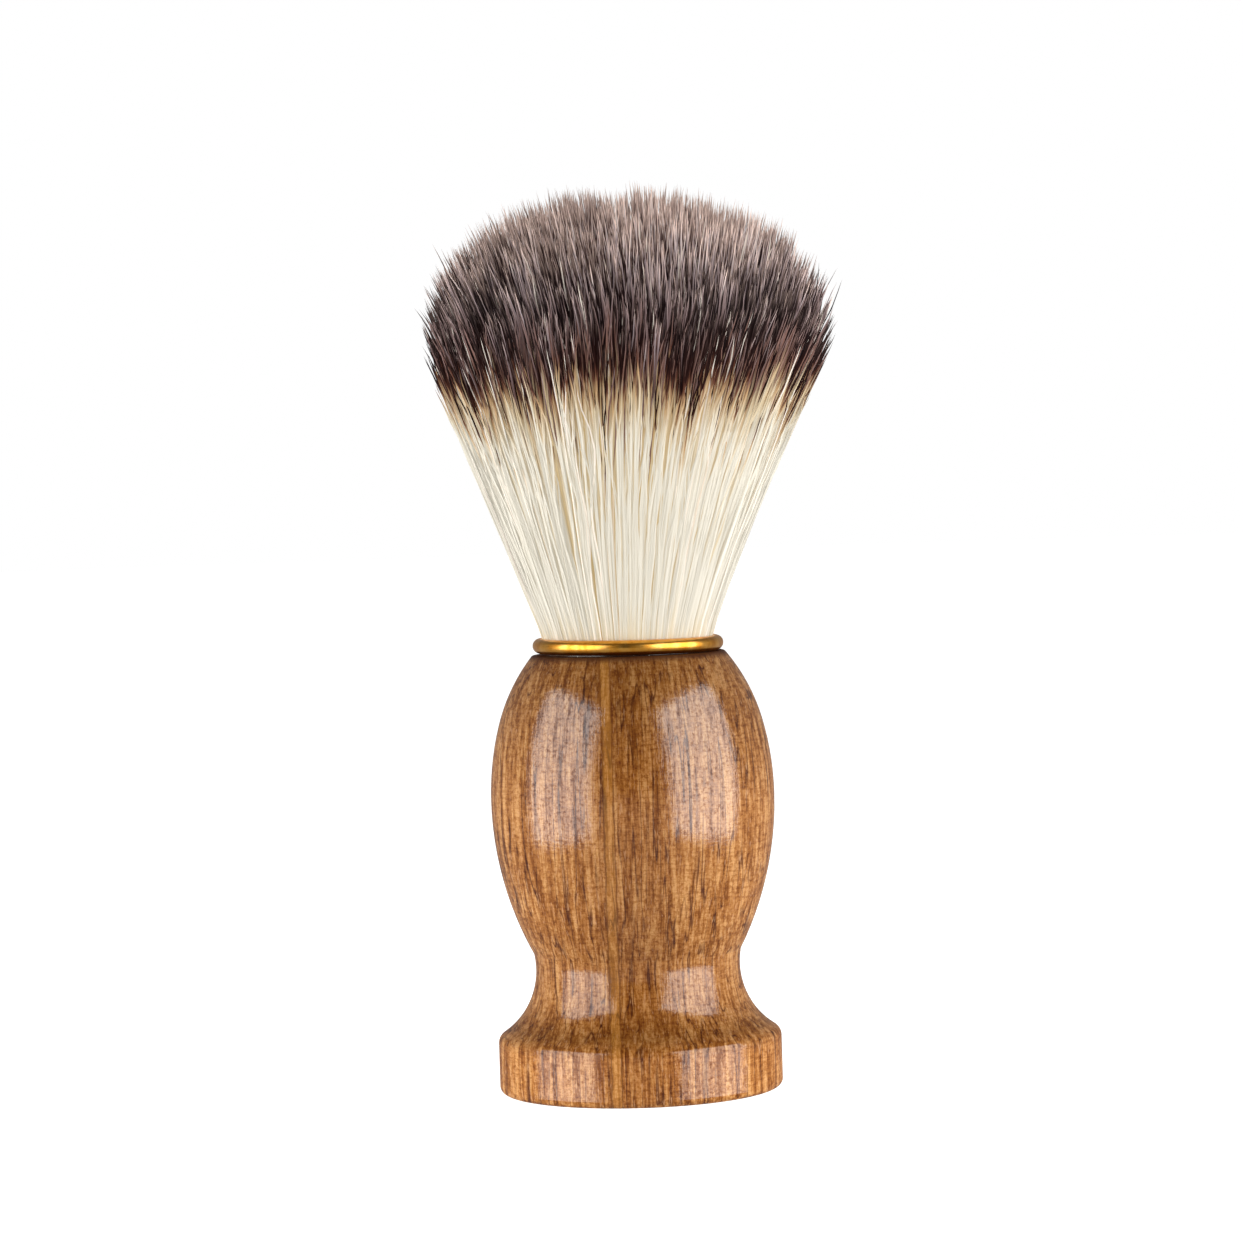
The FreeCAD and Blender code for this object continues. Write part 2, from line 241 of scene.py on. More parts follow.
def fibre_tops(random, layout):
    """Height of each fibre's tip above the ring, and whether the fibre is a loose one."""
    ends = layout.gathered(sum(TUFT_PULL), sum(CLUMP_PULL))[:, 0]
    top = tip_rise(np.minimum(np.hypot(ends[:, 0], ends[:, 1]), 1))
    top -= random.exponential(FIBRE_SHORTER_MM, FIBRE_COUNT)
    top -= random.exponential(TUFT_SHORTER_MM, TUFT_COUNT)[layout.tuft]
    top -= random.exponential(CLUMP_SHORTER_MM, CLUMP_COUNT)[layout.clump]
    top -= random.exponential(PATCH_SHORTER_MM, PATCH_COUNT)[layout.patch]
    loose = (layout.share > LOOSE_FROM) & (random.random(FIBRE_COUNT) < LOOSE_SHARE)
    top -= loose * LOOSE_SHORTER_MM * random.random(FIBRE_COUNT)
    return top, loose


def strayed(random, layout, flat, rise, step):
    """The straight fibres' places with strays, drifts, waves, crimps and curled tips added."""
    up = np.clip(rise / FULL_STRAY_MM, 0, MOST_STRAY)
    single = (FIBRE_COUNT, 1, 1)
    wild = np.minimum(random.exponential(STRAY_MM, single), STRAY_LIMIT_MM)
    wild = wild + (random.random(single) < WILD_SHARE) * WILD_MM
    deviation = random.normal(0, 1, (FIBRE_COUNT, 1, 2))
    flat = flat + np.clip(deviation, -STRAY_DEVIATIONS, STRAY_DEVIATIONS) * wild * up**2
    flat = flat + random.normal(0, TUFT_DRIFT_MM, (TUFT_COUNT, 1, 2))[layout.tuft] * up

    sway_phase = phases(random, TUFT_COUNT)[layout.tuft]
    sway_turns = turns(random, TUFT_COUNT, SWAY_TURNS)[layout.tuft]
    sway = random.normal(0, SWAY_MM, (TUFT_COUNT, 1, 2))[layout.tuft]
    flat = flat + ripple(sway * risen(rise, 0, SWAY_GROWTH_MM), sway_turns, sway_phase, step)

    wave_turns = turns(random, FIBRE_COUNT, WAVE_TURNS)
    wave_phase = phases(random, FIBRE_COUNT)
    wave = np.minimum(random.exponential(WAVE_MM, single), WAVE_LIMIT_MM)
    flat = flat + ripple(wave * risen(rise, 0, WAVE_GROWTH_MM), wave_turns, wave_phase, step)

    crimp_turns = turns(random, FIBRE_COUNT, CRIMP_TURNS)
    crimp_phase = phases(random, FIBRE_COUNT)
    crimp = np.minimum(random.exponential(CRIMP_MM, single), CRIMP_LIMIT_MM)
    crimp = crimp * risen(rise, CRIMP_START_MM, CRIMP_GROWTH_MM)
    flat = flat + ripple(crimp, crimp_turns, crimp_phase, step)

    curled = risen(step, CURL_START, 1 - CURL_START) ** 2
    return flat + random.normal(0, CURL_MM, (FIBRE_COUNT, 1, 2)) * curled


def fibre_paths(random, layout, ring_z, root_z):
    """Points along every fibre in millimetres, and each point's height above the ring."""
    top, loose = fibre_tops(random, layout)
    foot = root_z - ring_z
    step = steps_along()[..., None]
    rise = foot + (top[:, None, None] - foot) * step
    tuft_pull = pull(rise, TUFT_PULL, first_growth=6, second_start=17, second_growth=16)
    clump_pull = pull(rise, CLUMP_PULL, first_growth=8, second_start=20, second_growth=20)
    radius = envelope(rise)
    flat = layout.gathered(tuft_pull, clump_pull) * radius
    flat = strayed(random, layout, flat, rise, step)

    up = np.clip(rise / FULL_STRAY_MM, 0, MOST_STRAY)
    limit = radius * (1 + SLACK_SHARE * up**2) + SLACK_MM * up
    length = np.hypot(flat[..., 0], flat[..., 1])[..., None]
    flat = flat * np.minimum(1, limit / np.maximum(length, 1e-9))
    bristle = (loose * random.random(FIBRE_COUNT))[:, None, None]
    standoff = LOOSE_STANDOFF * bristle * risen(rise, STANDOFF_START_MM, STANDOFF_GROWTH_MM) ** 2
    flat = flat * (1 + standoff)
    flat[..., 0] += lean(rise[..., 0])
    return np.concatenate([flat, rise + ring_z], 2), rise[..., 0]


# ---------------------------------------------------------------- how the fibres are coloured

# Deviations of the height at which a fibre's dark band starts, for groups and single fibres.
CLUMP_SHIFT_MM = 0.8
TUFT_SHIFT_MM = 0.7
FIBRE_SHIFT_MM = 0.8
EARLY_SHARE = 0.28  # of the fibres turn dark further down
EARLY_MM = 3.0
EARLY_LIMIT_MM = 8

# Shares of the tuft, the fibre and the patch in a fibre's tone.
TUFT_TONE = 0.38
FIBRE_TONE = 0.38
PATCH_TONE = 0.24
BRIGHT_SHARE = 0.012  # of the fibres are nearly white
BRIGHT_SHARE_OUTSIDE = 0.07  # and of those on the bundle's surface
SURFACE_FROM = 0.985  # share of the radius where the surface starts

DEPTH_FROM = 0.978  # share of the radius where a fibre starts to count as deep in the bundle
DEPTH_LENGTH = 0.03  # and by how much less it is fully deep
DEPTH_SHADE_SPREAD = (0.6, 0.4)  # least strength of a deep fibre's painted shade, and the span above it
SIDE_LIGHT_FADING = 0.6  # deep fibres' painted shade fades by this to left and right, as painted light


class Colouring:
    """Values for each fibre that its material reads.

    The band is the height that the colours follow, shifted from fibre to fibre. The tone is 0 for
    a dark fibre and 1 for a nearly white one. The depth shade is painted shade for fibres deep in
    the bundle: 0 on its surface and up to 1 inside, weaker at the left and right as painted light.
    """

    def __init__(self, random, layout, rise):
        shift = random.normal(0, CLUMP_SHIFT_MM, CLUMP_COUNT)[layout.clump]
        shift += random.normal(0, TUFT_SHIFT_MM, TUFT_COUNT)[layout.tuft]
        shift += random.normal(0, FIBRE_SHIFT_MM, FIBRE_COUNT)
        early = random.random(FIBRE_COUNT) < EARLY_SHARE
        shift += early * np.minimum(random.exponential(EARLY_MM, FIBRE_COUNT), EARLY_LIMIT_MM)
        self.band = rise + shift[:, None]

        tone = TUFT_TONE * random.random(TUFT_COUNT)[layout.tuft]
        tone = tone + FIBRE_TONE * random.random(FIBRE_COUNT)
        tone += PATCH_TONE * random.random(PATCH_COUNT)[layout.patch]
        bright = np.where(layout.share > SURFACE_FROM, BRIGHT_SHARE_OUTSIDE, BRIGHT_SHARE)
        self.tone = np.where(random.random(FIBRE_COUNT) < bright, 1.0, tone)

        least, span = DEPTH_SHADE_SPREAD
        depth = np.clip((DEPTH_FROM - layout.share) / DEPTH_LENGTH, 0, 1)
        depth = depth * (least + span * random.random(FIBRE_COUNT))
        sideways = layout.places[:, 0] / np.maximum(layout.share, 1e-6)
        self.depth = depth * (1 - SIDE_LIGHT_FADING * sideways**2)


# ---------------------------------------------------------------- the fibres' meshes

SIDES = 3  # corners of a fibre's section
SECTORS = 6  # the knot is split into this many meshes, like slices of a cake
FIBRE_RADIUS_MM = 0.1
THICKNESS_SPREAD = (0.8, 0.4)  # least thickness, and the span above it
TAPER_PLACES = (0, 0.05, 0.3, 0.75, 0.92, 1)  # shares of a fibre's length
TAPER = (0.66, 0.70, 1.05, 1, 0.82, 0.35)  # its thickness there
OWN_ROUNDNESS = 0.2  # how far a fibre's own round shape shows in the light on the bundle
BAKE_CELL_SHAPE = 7  # how many times taller than wide a fibre's cell in the UV map is
CELL_SIDE_MARGIN = 0.3  # of the cell's width
CELL_END_MARGIN = 0.06  # of its height


def tube_faces():
    """Corner numbers of one fibre's triangles, with its tip last."""
    faces = []
    for ring in range(SEGMENTS - 1):
        for k in range(SIDES):
            a, b = ring * SIDES + k, ring * SIDES + (k + 1) % SIDES
            faces += [(a, b, b + SIDES), (a, b + SIDES, a + SIDES)]
    last = (SEGMENTS - 1) * SIDES
    faces += [(last + k, last + (k + 1) % SIDES, last + SIDES) for k in range(SIDES)]
    faces.append((2, 1, 0))  # the foot
    return np.array(faces)


def per_corner(values):
    """Values for each ring and the tip, repeated for the corners of each ring."""
    ringed = np.repeat(values[:, :SEGMENTS], SIDES, 1)
    return np.concatenate([ringed, values[:, -1:]], 1)


def fibre_mesh(name, points, values, ring_z, random):
    """One mesh of closed, tapering three-sided tubes along the given paths."""
    count = points.shape[0]
    per_fibre = SEGMENTS * SIDES + 1
    along = np.gradient(points, axis=1)
    along /= np.linalg.norm(along, axis=2, keepdims=True)
    side = np.cross(along, np.array([0.0, 1.0, 0.0]))
    side /= np.linalg.norm(side, axis=2, keepdims=True)
    other = np.cross(along, side)
    least, span = THICKNESS_SPREAD
    thick = FIBRE_RADIUS_MM * (least + span * random.random((count, 1)))
    thick = thick * np.interp(steps_along()[0], TAPER_PLACES, TAPER)
    twist = random.random((count, 1)) * 2 * np.pi
    surface = bundle_normals(points, ring_z)
    corners, normals = [], []
    for k in range(SIDES):
        turn = twist + 2 * np.pi * k / SIDES
        offset = np.cos(turn)[..., None] * side + np.sin(turn)[..., None] * other
        corners.append(points + offset * thick[..., None])
        normals.append(surface + offset * OWN_ROUNDNESS)
    body = np.stack(corners, 2)[:, :SEGMENTS]  # fibre, ring, corner, xyz
    facing = np.stack(normals, 2)[:, :SEGMENTS]
    body = body.reshape(count, SEGMENTS * SIDES, 3)
    facing = facing.reshape(count, SEGMENTS * SIDES, 3)
    vertices = np.concatenate([body, points[:, -1:]], 1)
    facing = np.concatenate([facing, surface[:, -1:]], 1)
    facing /= np.linalg.norm(facing, axis=2, keepdims=True)
    all_faces = tube_faces()[None] + (np.arange(count) * per_fibre)[:, None, None]

    mesh = bpy.data.meshes.new(name)
    mesh.from_pydata(vertices.reshape(-1, 3) * MM, [], all_faces.reshape(-1, 3))
    mesh.shade_smooth()
    mesh.normals_split_custom_set_from_vertices(facing.reshape(-1, 3))
    for label, steps in values.items():
        layer = mesh.attributes.new(label, "FLOAT", "POINT")
        layer.data.foreach_set("value", per_corner(steps).ravel().astype(np.float32))
    bake_layout(mesh, count, per_fibre)
    return mesh


def bake_layout(mesh, count, per_fibre):
    """A UV map for baking: each fibre has its own small cell, with V along the fibre."""
    columns = math.ceil(math.sqrt(count * BAKE_CELL_SHAPE))
    rows = math.ceil(count / columns)
    corner = np.zeros(len(mesh.loops), np.int32)
    mesh.loops.foreach_get("vertex_index", corner)
    fibre, place = corner // per_fibre, corner % per_fibre
    tip = place == per_fibre - 1
    along = np.where(tip, SEGMENTS, place // SIDES) / SEGMENTS
    across = np.where(tip, 0.5, (place % SIDES) / (SIDES - 1))
    across = CELL_SIDE_MARGIN + (1 - 2 * CELL_SIDE_MARGIN) * across
    along = CELL_END_MARGIN + (1 - 2 * CELL_END_MARGIN) * along
    u = (fibre % columns + across) / columns
    v = (fibre // columns + along) / rows
    layer = mesh.uv_layers.new(name="OFBake")
    layer.data.foreach_set("uv", np.stack([u, v], 1).astype(np.float32).ravel())


def make_knot(material):
    """The fibres, cut into sectors like slices of a cake."""
    random = np.random.default_rng(SEED)
    ring_low, ring_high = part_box("collar_ring")
    ring_z = (ring_low.z + ring_high.z) / 2 / MM
    root_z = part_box("knot_plug")[1].z / MM
    layout = Layout(random)
    points, rise = fibre_paths(random, layout, ring_z, root_z)
    colouring = Colouring(random, layout, rise)
    values = {
        "band": colouring.band,
        "tone": np.repeat(colouring.tone[:, None], SEGMENTS + 1, 1),
        "depth": np.repeat(colouring.depth[:, None], SEGMENTS + 1, 1),
        "reach": np.repeat(steps_along(), FIBRE_COUNT, 0),
    }
    angle = np.arctan2(layout.places[:, 1], layout.places[:, 0]) % (2 * np.pi)
    sectors = (angle * SECTORS / (2 * np.pi)).astype(int)

    for sector in range(SECTORS):
        chosen = sectors == sector
        name = f"fibres_{sector + 1}"
        picked = {label: steps[chosen] for label, steps in values.items()}
        mesh = fibre_mesh(name, points[chosen], picked, ring_z, random)
        mesh.materials.append(material)
        piece = bpy.data.objects.new(name, mesh)
        piece.visible_shadow = False
        bpy.context.scene.collection.objects.link(piece)
        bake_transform(piece)
        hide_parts("fibre_root", "fibre_bending_zone", "fibre_crown")


# ---------------------------------------------------------------- node trees


def screen(colour):
    """Linear colour, with alpha, of a screen colour given as 0-255 values."""
    linear = [(c / 255 / 12.92) if c < 10.3 else ((c / 255 + 0.055) / 1.055) ** 2.4 for c in colour]
    return (*linear, 1.0)


def grey(value):
    """Grey of a linear brightness, with alpha."""
    return (value, value, value, 1.0)


WHITE = (255, 255, 255)


class Nodes:
    """Short calls that build a node tree."""

    def __init__(self, tree):
        self.tree = tree

    def add(self, kind, **settings):
        node = self.tree.nodes.new(kind)
        for key, value in settings.items():
            setattr(node, key, value)
        return node

    def link(self, value, socket):
        if isinstance(value, (int, float, tuple)):
            socket.default_value = value
        else:
            self.tree.links.new(value, socket)

    def split(self, vector):
        node = self.add("ShaderNodeSeparateXYZ")
        self.link(vector, node.inputs[0])
        return node.outputs

    def math(self, operation, *values, clamp=False):
        node = self.add("ShaderNodeMath", operation=operation, use_clamp=clamp)
        for value, socket in zip(values, node.inputs):
            self.link(value, socket)
        return node.outputs[0]

    def times(self, first, *others):
        for value in others:
            first = self.math("MULTIPLY", first, value)
        return first

    def weighted(self, *terms):
        """The sum of (value, weight) pairs; a weight of 1 adds the value as it is."""
        total = None
        for value, weight in terms:
            part = value if weight == 1 else self.math("MULTIPLY", value, weight)
            total = part if total is None else self.math("ADD", total, part)
        return total

    def curve(self, value, stops):
        node = self.add("ShaderNodeValToRGB")
        self.link(value, node.inputs[0])
        elements = node.color_ramp.elements
        while len(elements) < len(stops):
            elements.new(0.5)
        for element, (place, colour) in zip(elements, stops):
            element.position = place
            element.color = colour
        return node.outputs[0]

    def ramp(self, value, *stops):
        """Colour ramp whose stops are (place, (r, g, b)) with the colours as screen values 0-255."""
        return self.curve(value, [(place, screen(colour)) for place, colour in stops])

    def steps(self, value, *stops):
        """A grey ramp whose stops are (place, value from 0 to 1)."""
        return self.curve(value, [(place, grey(level)) for place, level in stops])

    def mix(self, factor, first, second, blend="MIX"):
        node = self.add("ShaderNodeMix", data_type="RGBA", blend_type=blend)
        self.link(factor, node.inputs[0])
        self.link(first, node.inputs[6])
        self.link(second, node.inputs[7])
        return node.outputs[2]


class Material(Nodes):
    """A node tree round one Principled shader."""

    def __init__(self, name):
        self.material = bpy.data.materials.new(name)
        self.material.use_nodes = True
        super().__init__(self.material.node_tree)
        self.shader = self.tree.nodes["Principled BSDF"]

    def attribute(self, name):
        return self.add("ShaderNodeAttribute", attribute_name=name).outputs["Fac"]

    def vector(self, x, y, z):
        node = self.add("ShaderNodeCombineXYZ")
        for value, socket in zip((x, y, z), node.inputs):
            self.link(value, socket)
        return node.outputs[0]

    def position(self):
        """X, Y and Z in the object's own frame, in millimetres."""
        source = self.add("ShaderNodeTexCoord").outputs["Object"]
        scaled = self.add("ShaderNodeVectorMath", operation="SCALE")
        self.link(source, scaled.inputs[0])
        scaled.inputs["Scale"].default_value = 1 / MM
        return self.split(scaled.outputs[0])

    def noise(self, vector, scale, detail=2.0, roughness=0.5):
        node = self.add("ShaderNodeTexNoise")
        self.link(vector, node.inputs["Vector"])
        node.inputs["Scale"].default_value = scale
        node.inputs["Detail"].default_value = detail
        node.inputs["Roughness"].default_value = roughness
        return node.outputs[0]

    def cells(self, vector, scale):
        """Distance to the nearest of many scattered points."""
        node = self.add("ShaderNodeTexVoronoi", feature="F1")
        self.link(vector, node.inputs["Vector"])
        node.inputs["Scale"].default_value = scale
        return node.outputs["Distance"]

    def bump(self, height, distance, strength):
        node = self.add("ShaderNodeBump")
        node.inputs["Strength"].default_value = strength
        node.inputs["Distance"].default_value = distance
        self.link(height, node.inputs["Height"])
        return node.outputs[0]

    def set(self, **values):
        for key, value in values.items():
            self.link(value, self.shader.inputs[key.replace("_", " ")])


# ---------------------------------------------------------------- materials

BAND_SPAN_MM = 56.0  # height above the ring where the fibres' colour ramps end
PAINTED_GLOW = 0.35  # painted glow: emission standing in for light passed through many pale fibres


def fibre_material():
    """Cream fibres with a dark band, grey above it, lighter tips, painted shade and painted glow."""
    n = Material("badger_style_fibre")
    band, tone = n.attribute("band"), n.attribute("tone")
    reach, depth = n.attribute("reach"), n.attribute("depth")
    place = n.math("DIVIDE", band, BAND_SPAN_MM, clamp=True)
    dark = n.ramp(
        place,
        (0.0, (194, 184, 162)),
        (0.06, (195, 190, 178)),
        (0.42, (195, 190, 178)),
        (0.46, (194, 180, 156)),
        (0.498, (176, 144, 106)),
        (0.523, (96, 58, 44)),
        (0.545, (38, 16, 12)),
        (0.66, (24, 9, 9)),
        (0.76, (32, 16, 17)),
        (0.90, (104, 84, 80)),
    )
    light = n.ramp(
        place,
        (0.0, (192, 180, 156)),
        (0.10, (197, 192, 180)),
        (0.40, (197, 192, 180)),
        (0.495, (190, 172, 140)),
        (0.553, (118, 84, 72)),
        (0.66, (128, 106, 105)),
        (0.80, (174, 158, 159)),
        (0.91, (240, 224, 218)),
    )
    pale = n.steps(tone, (0.58, 0.0), (0.63, 1.0))
    colour = n.mix(pale, dark, light)
    bright = n.steps(tone, (0.985, 0.0), (0.995, 1.0))
    colour = n.mix(bright, colour, screen((218, 208, 196)))
    high = n.steps(place, (0.56, 0.0), (0.70, 0.15), (0.78, 0.42), (0.86, 1.0))
    tip = n.times(n.steps(reach, (0.95, 0.0), (0.99, 1.0)), high)
    tip = n.times(tip, n.math("ADD", n.math("MULTIPLY", pale, 0.45), 0.55))
    colour = n.mix(tip, colour, screen((250, 218, 202)))
    # Painted shade: above the band, each fibre is darkened from just below its tip downwards.
    shade_below_tips = n.ramp(reach, (0.80, (116, 106, 110)), (0.985, WHITE))
    above_band = n.steps(place, (0.58, 0.0), (0.68, 1.0))
    colour = n.mix(above_band, colour, shade_below_tips, blend="MULTIPLY")
    # Painted shade: deep fibres in the cream are darkened towards gold, in place of shadows between
    # fibres.
    shade = n.ramp(depth, (0.2, WHITE), (0.9, (238, 216, 174)))
    below_band = n.steps(place, (0.44, 1.0), (0.51, 0.0))
    colour = n.mix(below_band, colour, shade, blend="MULTIPLY")
    # Painted glow: the cream part emits a share of its own whitened colour, as light scattered in
    # it.
    painted_glow = n.steps(place, (0.42, PAINTED_GLOW), (0.53, 0.0))
    glow_colour = n.mix(1.0, colour, screen((255, 250, 238)), blend="MULTIPLY")
    n.set(Base_Color=colour, Roughness=0.5, Emission_Color=glow_colour, Emission_Strength=painted_glow)
    n.set(Specular_IOR_Level=0.06)
    return n.material


HANDLE_SPAN_MM = 60.0  # heights on the handle are shares of this
NECK_TOP = (0.828, 0.838)  # between these shares the handle's shoulder meets the ring
BULB_RADIUS_MM = 16.3
GRAIN_RADIUS_MM = 14.0  # where the grain has its true width
GRAIN_FOLLOWS = 0.4  # 0 is straight grain, 1 is grain that follows the outline
GRAIN_DEPTH = 0.42  # how fast the grain changes from front to back, next to sideways
HEART_SHARE = 0.19  # the pale stripe's left edge is this share of the radius left of the middle
HEART_SCALE = 5.0  # the stripe and its edges are ramps over a fifth of the radius


def wood_material():
    """Orange-brown lacquered hardwood whose grain runs up the turned surface."""
    n = Material("lacquered_hardwood")
    x, y, z = n.position()
    squares = n.math("ADD", n.math("MULTIPLY", x, x), n.math("MULTIPLY", y, y))
    radius = n.math("MAXIMUM", n.math("SQRT", squares), 0.5)
    height = n.math("DIVIDE", z, HANDLE_SPAN_MM)
    sideways, forward = n.math("DIVIDE", x, radius), n.math("DIVIDE", y, radius)
    shrink = n.math("POWER", n.math("DIVIDE", GRAIN_RADIUS_MM, radius), GRAIN_FOLLOWS)
    across = n.times(x, shrink)
    inward = n.times(y, shrink, GRAIN_DEPTH)
    grain = n.vector(across, inward, n.times(z, 0.03))
    broken = n.vector(across, inward, n.times(z, 0.15))
    turned = n.vector(across, inward, n.times(z, 6.0))
    solid = n.vector(across, inward, z)

    bands = n.noise(grain, scale=0.25)
    lines = n.noise(grain, scale=1.7, detail=4, roughness=0.7)
    dashes = n.noise(broken, scale=3.0, detail=3, roughness=0.7)
    speckle = n.noise(solid, scale=2.6, detail=3, roughness=0.75)
    lathe = n.noise(turned, scale=0.6, detail=3, roughness=0.7)

    level = n.weighted((lines, 0.52), (dashes, 0.24), (bands, 0.08), (speckle, 0.16))
    colour = n.ramp(
        level,
        (0.41, (132, 73, 16)),
        (0.455, (156, 94, 30)),
        (0.50, (182, 118, 52)),
        (0.58, (218, 160, 97)),
    )
    pores = n.math("ABSOLUTE", n.math("SUBTRACT", n.noise(grain, scale=1.25, detail=1), 0.5))
    pores = n.ramp(pores, (0.006, (150, 122, 80)), (0.040, WHITE))
    open_pores = n.steps(n.noise(broken, scale=0.8), (0.42, 0.2), (0.56, 1.0))
    colour = n.mix(open_pores, colour, pores, blend="MULTIPLY")
    spots = n.ramp(speckle, (0.36, (214, 196, 160)), (0.50, WHITE))
    colour = n.mix(0.8, colour, spots, blend="MULTIPLY")
    rings = n.ramp(lathe, (0.38, (216, 196, 160)), (0.54, WHITE))
    colour = n.mix(0.7, colour, rings, blend="MULTIPLY")
    flecks = n.steps(n.noise(broken, scale=4.0, roughness=0.8), (0.58, 0.0), (0.68, 0.5))
    colour = n.mix(flecks, colour, screen((222, 168, 118)))
    # Painted shade by height: darker in the cove above the base, much darker under the ring and
    # knot.
    shade_by_height = n.steps(
        height,
        (0.09, 1.0),
        (0.125, 0.54),
        (0.18, 0.76),
        (0.36, 0.88),
        (0.55, 0.85),
        (0.84, 0.46),
    )
    colour = n.mix(1.0, colour, shade_by_height, blend="MULTIPLY")

    # A pale stripe between two dark lines on the front, and painted shade on the front's middle.
    heart = n.weighted((n.math("DIVIDE", x, BULB_RADIUS_MM), 1), (dashes, 0.04))
    heart = n.times(n.math("ADD", heart, HEART_SHARE), HEART_SCALE)
    stripe = n.steps(heart, (0.0, 0.0), (0.04, 1.0), (0.36, 1.0), (0.40, 0.0))
    edges = n.steps(
        heart,
        (0.0, 0.0),
        (0.02, 1.0),
        (0.05, 1.0),
        (0.08, 0.0),
        (0.34, 0.0),
        (0.37, 1.0),
        (0.40, 1.0),
        (0.43, 0.0),
    )
    front = n.steps(forward, (-0.1, 1.0), (0.0, 0.0))
    # Painted shade: the middle of the front is darkened.
    middle = n.math("ABSOLUTE", n.math("ADD", sideways, 0.02))
    middle = n.times(n.steps(middle, (0.15, 0.5), (0.45, 0.0)), front)
    colour = n.mix(middle, colour, screen((206, 196, 182)), blend="MULTIPLY")
    colour = n.mix(n.times(stripe, front, 0.2), colour, screen((200, 138, 56)))
    colour = n.mix(n.times(edges, front, 0.62), colour, screen((88, 44, 8)))

    # Painted shadow: above the shoulder, next to the ring, the wood is dark brown and unlacquered.
    below, above = NECK_TOP
    outside_ring_shadow = n.steps(height, (below, 1.0), (above, 0.0))
    colour = n.mix(outside_ring_shadow, screen((58, 28, 10)), colour)
    filled = n.times(
        outside_ring_shadow,
        n.steps(level, (0.42, 0.55), (0.48, 1.0)),
        n.steps(speckle, (0.36, 0.5), (0.5, 1.0)),
        n.steps(height, (0.10, 0.22), (0.16, 0.26), (0.28, 0.27), (0.40, 0.32)),
    )
    grain_bump = n.bump(level, distance=0.00008, strength=0.6)
    relief = n.weighted((lines, 1), (speckle, 0.25), (lathe, 0.25))
    coat_bump = n.bump(relief, distance=0.00004, strength=0.8)
    n.set(Base_Color=colour, Roughness=0.5, Normal=grain_bump, Specular_IOR_Level=0.1)
    n.set(Coat_Weight=filled, Coat_Normal=coat_bump, Coat_Roughness=0.05, Coat_IOR=2.4)
    return n.material


def gold_material():
    """Gold-coloured plated wire with worn, darker patches and fine drawing marks."""
    n = Material("gold_plated_wire")
    x, y, z = n.position()
    wear = n.noise(n.vector(x, y, z), scale=0.7, detail=4, roughness=0.6)
    marks = n.noise(n.vector(x, y, n.times(z, 6.0)), scale=2.5, detail=3)
    colour = n.ramp(
        wear,
        (0.30, (202, 130, 38)),
        (0.48, (228, 160, 62)),
        (0.66, (238, 180, 88)),
        (0.78, (208, 124, 70)),
    )
    rough = n.steps(wear, (0.35, 0.36), (0.55, 0.28), (0.80, 0.40))
    scratched = n.bump(marks, distance=0.00002, strength=0.12)
    n.set(Base_Color=colour, Roughness=rough, Normal=scratched, Metallic=1.0)
    return n.material


def resin_material():
    """Cured amber resin with the cut fibre butts showing as a fine speckle."""
    n = Material("cast_resin")
    x, y, z = n.position()
    butts = n.cells(n.vector(x, y, n.times(z, 0.1)), scale=5.0)
    cloud = n.noise(n.vector(x, y, z), scale=0.4, detail=3)
    base = n.ramp(cloud, (0.35, (150, 104, 52)), (0.65, (188, 142, 82)))
    cut = n.steps(butts, (0.15, 0.6), (0.45, 0.0))
    colour = n.mix(cut, base, screen((222, 206, 170)))
    n.set(Base_Color=colour, Roughness=0.35, Normal=n.bump(butts, distance=0.00005, strength=0.4))
    return n.material


def glue_material():
    """Clear yellowish epoxy with small bubbles. Its bead under the ring is painted dark as shadow.
    """
    n = Material("cured_epoxy")
    x, y, z = n.position()
    bubbles = n.cells(n.vector(x, y, z), scale=1.6)
    spots = n.steps(bubbles, (0.12, 1.0), (0.22, 0.0))
    cloud = n.noise(n.vector(x, y, z), scale=0.3)
    base = n.ramp(cloud, (0.35, (206, 182, 122)), (0.65, (226, 206, 152)))
    # Painted shadow: the bead above the rim, under the ring, is painted dark brown.
    bead_shadow = n.steps(n.math("DIVIDE", z, HANDLE_SPAN_MM), (0.830, 0.0), (0.838, 1.0))
    base = n.mix(bead_shadow, base, screen((74, 42, 16)))
    colour = n.mix(spots, base, screen((244, 234, 206)))
    n.set(Base_Color=colour, Roughness=0.2, Normal=n.bump(spots, distance=0.00005, strength=0.5))
    return n.material


def thread_material():
    """Off-white tying thread with its plies showing as slanted ridges."""
    n = Material("tying_thread")
    x, y, z = n.position()
    turn = n.times(n.math("ARCTAN2", y, x), 34.0)
    plies = n.math("SINE", n.math("ADD", turn, n.times(z, 7.0)))
    fuzz = n.noise(n.vector(x, y, z), scale=6.0, detail=3)
    level = n.weighted((plies, 0.25), (fuzz, 1))
    colour = n.ramp(level, (0.2, (170, 156, 128)), (0.6, (222, 212, 188)), (0.9, (240, 234, 216)))
    n.set(Base_Color=colour, Roughness=0.85, Normal=n.bump(level, distance=0.00006, strength=0.8))
    return n.material


def paint_cad_nodes():
    """Give each CAD solid that stays visible its material."""
    materials = {
        "handle_body": wood_material(),
        "collar_ring": gold_material(),
        "knot_plug": resin_material(),
        "socket_adhesive": glue_material(),
        "binding_thread": thread_material(),
    }
    for node, material in materials.items():
        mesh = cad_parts[node].data
        mesh.materials.clear()
        mesh.materials.append(material)


# ---------------------------------------------------------------- floor, light and camera

